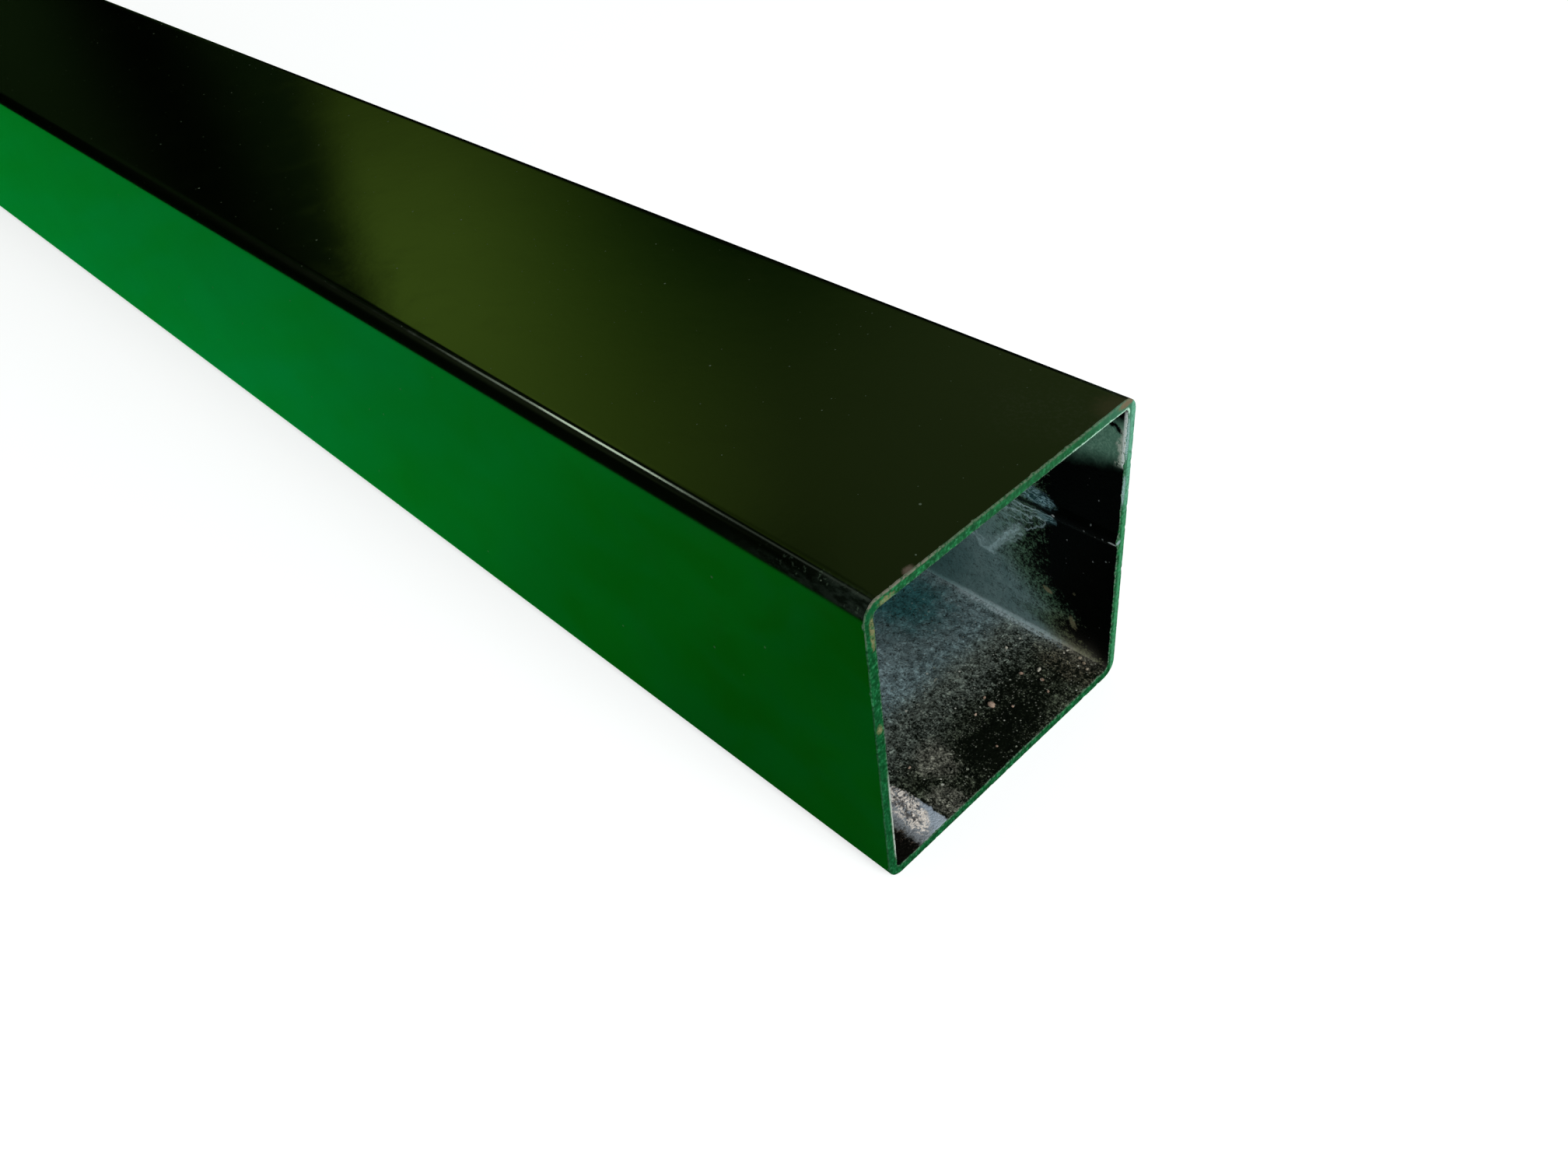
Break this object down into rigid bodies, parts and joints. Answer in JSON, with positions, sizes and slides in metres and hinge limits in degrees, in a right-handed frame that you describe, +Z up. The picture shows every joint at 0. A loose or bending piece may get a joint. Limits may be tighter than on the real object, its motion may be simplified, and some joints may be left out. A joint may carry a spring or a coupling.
{
  "type": "square metal tube",
  "caption": "Straight length of thin-walled square hollow section in painted steel, with rounded corners, a weld seam inside and open, square-sawn ends.",
  "frame": {"origin": "middle of the underside, half way along the tube", "axes": "+X along the tube towards the sawn end nearest the viewer, +Z up, -Y towards the side face seen beside that end; the inside weld seam is in the +Y wall"},
  "size_m": [1, 0.05, 0.05],
  "materials": {
    "gloss_paint": "deep bottle-green gloss paint outside and on the sawn rims, dusty blue-grey bare steel with dark paint overspray inside"
  },
  "bodies": {
    "root": {"square_tube": "gloss_paint"}
  },
  "joints": []
}
